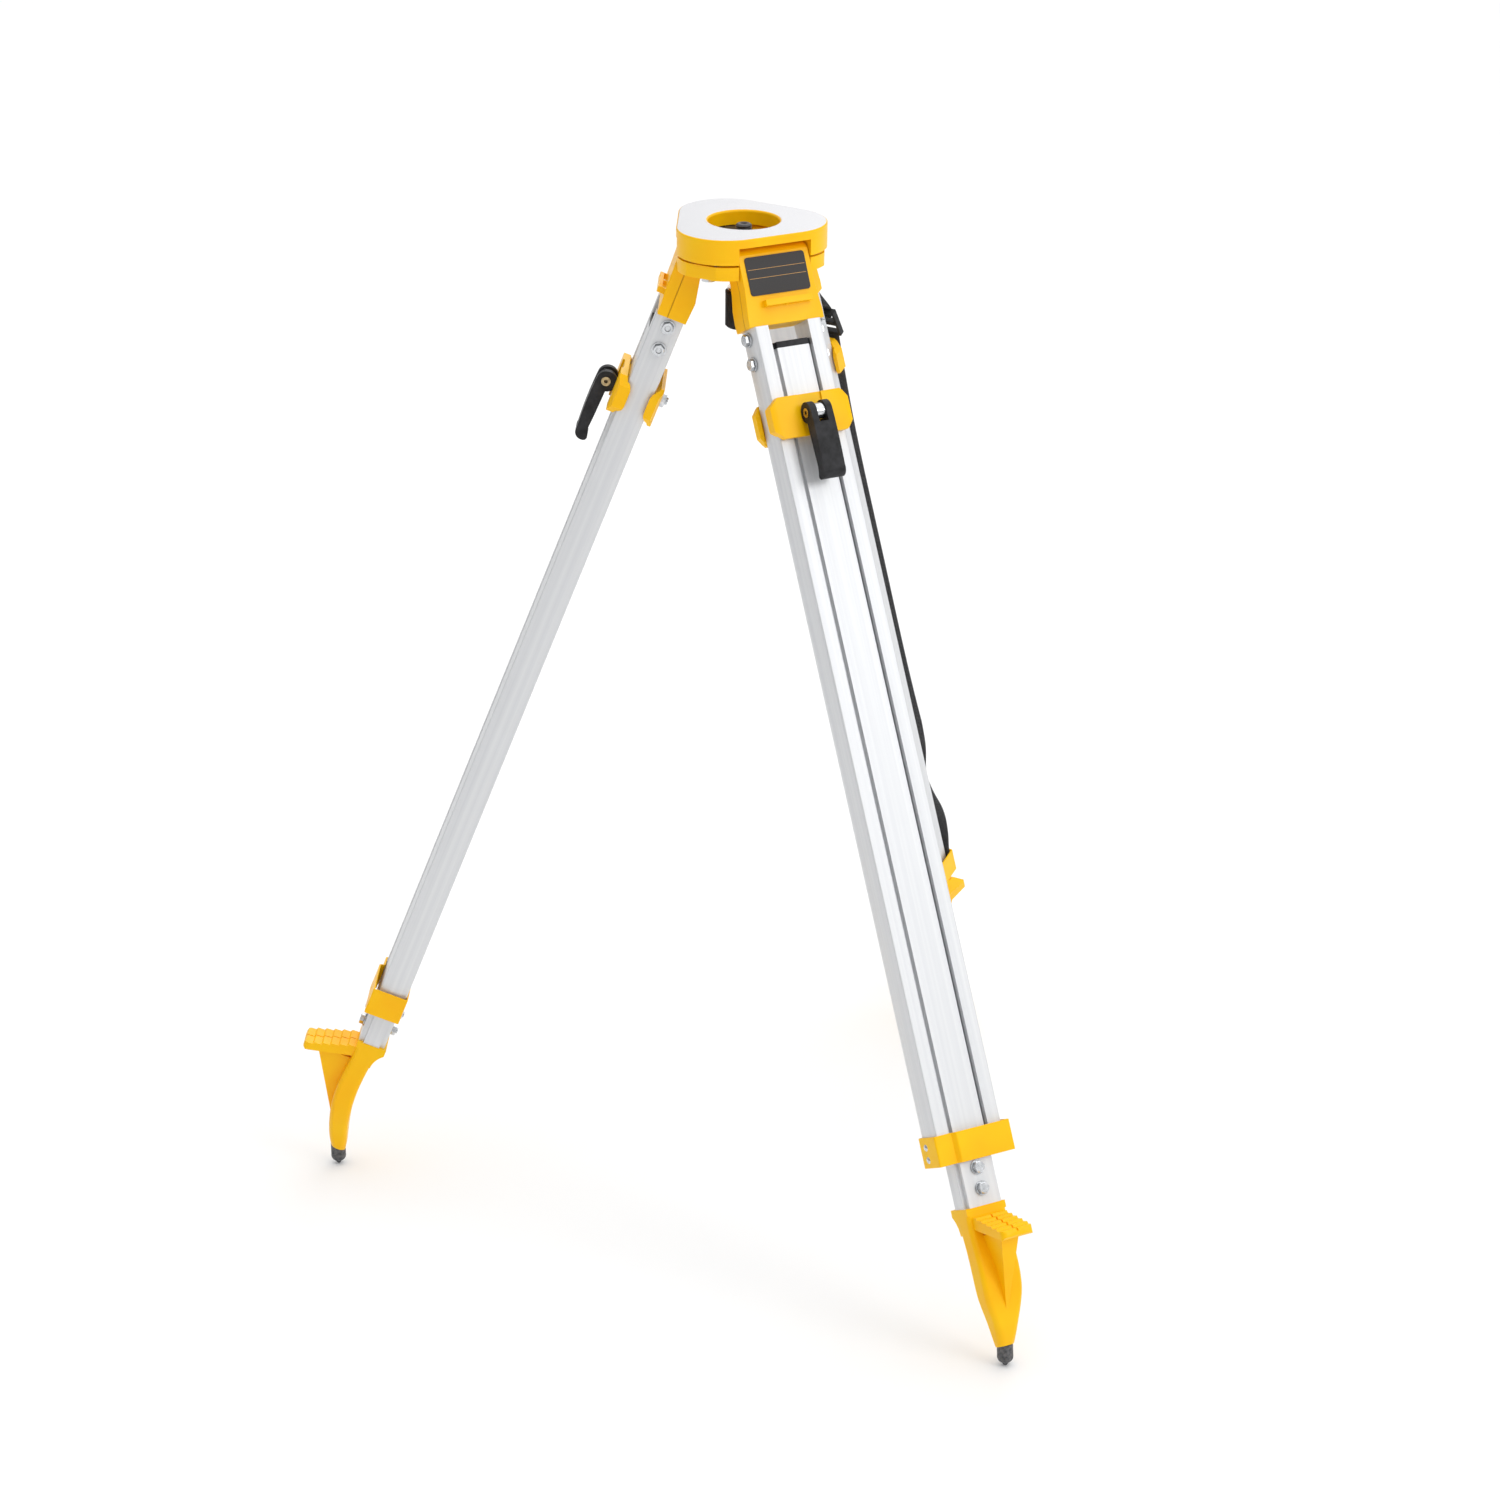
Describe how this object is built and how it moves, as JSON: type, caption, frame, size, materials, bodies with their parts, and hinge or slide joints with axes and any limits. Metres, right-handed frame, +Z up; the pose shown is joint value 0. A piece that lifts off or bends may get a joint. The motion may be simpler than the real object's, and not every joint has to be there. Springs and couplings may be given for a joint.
{
  "type": "surveyor tripod",
  "caption": "Flat-head surveyor tripod with two-stage aluminium legs, cam-lever clamps, spiked feet with pedals, a sliding centre screw and a webbing carry strap.",
  "frame": {"origin": "point on the ground plumb below the centre of the head's top face", "axes": "+Z up, the ground plane through the three spike tips is z = 0, the front leg points along -Y"},
  "size_m": [0.8069, 0.7976, 1.0133],
  "materials": {
    "head_paint": "gloss",
    "casting_paint": "gloss",
    "aluminium": "satin anodised",
    "zinc_steel": "zinc plated",
    "black_steel": "black oxide",
    "spike_steel": "dark hardened",
    "black_plastic": "moulded",
    "lever_plastic": "moulded",
    "webbing": "woven webbing",
    "label": "printed film"
  },
  "bodies": {
    "head": {"head_casting": "head_paint", "hinge_pins": "zinc_steel", "head_bolts": "zinc_steel"},
    "swing_arm": {"swing_arm": "black_steel"},
    "slide_block": {"slide_block": "black_steel"},
    "knob_washer": {"knob_washer": "zinc_steel"},
    "centre_screw": {"centre_screw": "black_steel", "screw_knob": "black_plastic"},
    "upper_leg_front": {"hinge_bracket_front": "casting_paint", "outer_tubes_front": "aluminium", "bracket_bolts_front": "zinc_steel", "guide_band_front": "casting_paint", "band_rivets_front": "zinc_steel", "label_plate": "label"},
    "lower_leg_front": {"inner_leg_front": "aluminium", "guide_cap_front": "black_plastic", "clamp_front_front": "casting_paint", "clamp_rear_front": "casting_paint", "clamp_bolt_front": "zinc_steel", "clamp_nut_front": "zinc_steel", "lever_pin_front": "zinc_steel", "foot_front": "casting_paint", "foot_bolts_front": "zinc_steel", "spike_front": "spike_steel"},
    "lever_front": {"clamp_lever_front": "lever_plastic"},
    "upper_leg_left": {"hinge_bracket_left": "casting_paint", "outer_tubes_left": "aluminium", "bracket_bolts_left": "zinc_steel", "guide_band_left": "casting_paint", "band_rivets_left": "zinc_steel"},
    "lower_leg_left": {"inner_leg_left": "aluminium", "guide_cap_left": "black_plastic", "clamp_front_left": "casting_paint", "clamp_rear_left": "casting_paint", "clamp_bolt_left": "zinc_steel", "clamp_nut_left": "zinc_steel", "lever_pin_left": "zinc_steel", "foot_left": "casting_paint", "foot_bolts_left": "zinc_steel", "spike_left": "spike_steel"},
    "lever_left": {"clamp_lever_left": "lever_plastic"},
    "upper_leg_right": {"hinge_bracket_right": "casting_paint", "outer_tubes_right": "aluminium", "bracket_bolts_right": "zinc_steel", "guide_band_right": "casting_paint", "band_rivets_right": "zinc_steel", "strap_tab": "webbing", "strap_buckle": "black_plastic", "carry_strap": "webbing"},
    "lower_leg_right": {"inner_leg_right": "aluminium", "guide_cap_right": "black_plastic", "clamp_front_right": "casting_paint", "clamp_rear_right": "casting_paint", "clamp_bolt_right": "zinc_steel", "clamp_nut_right": "zinc_steel", "lever_pin_right": "zinc_steel", "foot_right": "casting_paint", "foot_bolts_right": "zinc_steel", "spike_right": "spike_steel"},
    "lever_right": {"clamp_lever_right": "lever_plastic"}
  },
  "joints": [
    {"name": "arm_swing", "type": "hinge", "parent": "head", "child": "swing_arm", "pos_m": [-0.00024, 0.04063, 0.99185], "axis": [0.0135, -0.0638, 0.9979], "range_deg": [-15, 15]},
    {"name": "block_slide", "type": "slide", "parent": "swing_arm", "child": "slide_block", "axis": [-0.0004, -0.998, -0.0638], "range_m": [0, 0.016]},
    {"name": "screw_lift", "type": "slide", "parent": "slide_block", "child": "knob_washer", "axis": [0.0135, -0.0638, 0.9979], "range_m": [0, 0.018]},
    {"name": "screw_turn", "type": "hinge", "parent": "knob_washer", "child": "centre_screw", "pos_m": [-0.00081, 0.00383, 0.94832], "axis": [0.0135, -0.0638, 0.9979], "continuous": true},
    {"name": "leg_hinge_front", "type": "hinge", "parent": "head", "child": "upper_leg_front", "pos_m": [-0.00037, -0.04275, 0.97941], "axis": [-0.9999, -0.0004, 0.0135], "range_deg": [-28.18, 5.82]},
    {"name": "leg_slide_front", "type": "slide", "parent": "upper_leg_front", "child": "lower_leg_front", "axis": [-0.0121, -0.4151, -0.9097], "range_m": [0, 0.52]},
    {"name": "lever_turn_front", "type": "hinge", "parent": "lower_leg_front", "child": "lever_front", "pos_m": [-0.00206, -0.13728, 0.85053], "axis": [-0.9999, -0.0004, 0.0135], "range_deg": [0, 110]},
    {"name": "leg_hinge_left", "type": "hinge", "parent": "head", "child": "upper_leg_left", "pos_m": [-0.03887, 0.02385, 0.98418], "axis": [0.5003, 0.8645, 0.0485], "range_deg": [-21.23, 12.77]},
    {"name": "leg_slide_left", "type": "slide", "parent": "upper_leg_left", "child": "lower_leg_left", "axis": [-0.326, 0.24, -0.9144], "range_m": [0, 0.52]},
    {"name": "lever_turn_left", "type": "hinge", "parent": "lower_leg_left", "child": "lever_left", "pos_m": [-0.11597, 0.07576, 0.85415], "axis": [0.5003, 0.8645, 0.0485], "range_deg": [0, 110]},
    {"name": "leg_hinge_right", "type": "hinge", "parent": "head", "child": "upper_leg_right", "pos_m": [0.03819, 0.02388, 0.98315], "axis": [0.4996, -0.864, -0.062], "range_deg": [-22.61, 11.39]},
    {"name": "leg_slide_right", "type": "slide", "parent": "upper_leg_right", "child": "lower_leg_right", "axis": [0.3206, 0.2509, -0.9134], "range_m": [0, 0.52]},
    {"name": "lever_turn_right", "type": "hinge", "parent": "lower_leg_right", "child": "lever_right", "pos_m": [0.11452, 0.07732, 0.85327], "axis": [0.4996, -0.864, -0.062], "range_deg": [0, 110]}
  ]
}
